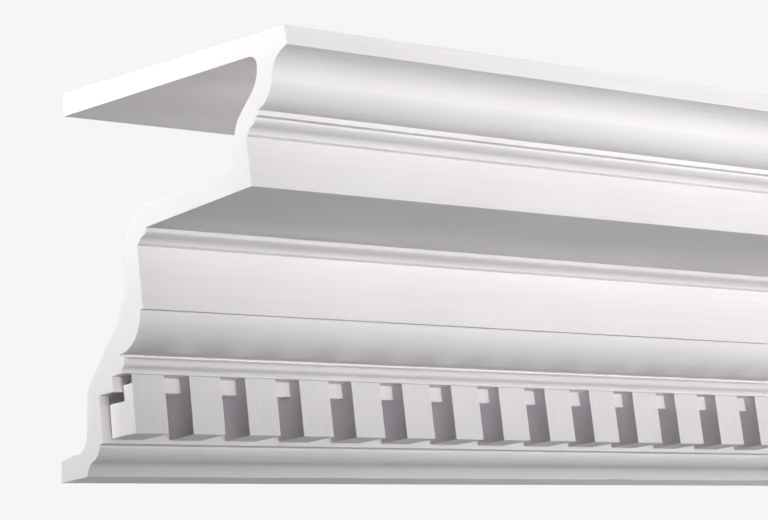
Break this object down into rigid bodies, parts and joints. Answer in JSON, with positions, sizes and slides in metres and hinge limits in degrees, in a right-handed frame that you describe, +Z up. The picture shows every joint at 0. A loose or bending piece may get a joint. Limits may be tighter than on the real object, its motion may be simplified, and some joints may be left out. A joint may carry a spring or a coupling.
{
  "type": "cornice moulding",
  "caption": "Straight length of white crown cornice: a thin hollow-backed shell with a ceiling flange, stepped and curved front, broad soffit and a row of dentils, cut square at both ends.",
  "frame": {"origin": "middle of the flat top face that lies against the ceiling, half way along the length", "axes": "+X along the moulding, to the right as seen from the room; +Y towards the wall; +Z up to the ceiling"},
  "size_m": [1, 0.2531, 0.25],
  "materials": {
    "primed_plastic": "smooth matte white factory primer on moulded rigid polyurethane"
  },
  "bodies": {
    "root": {"cornice_moulding": "primed_plastic"}
  },
  "joints": []
}
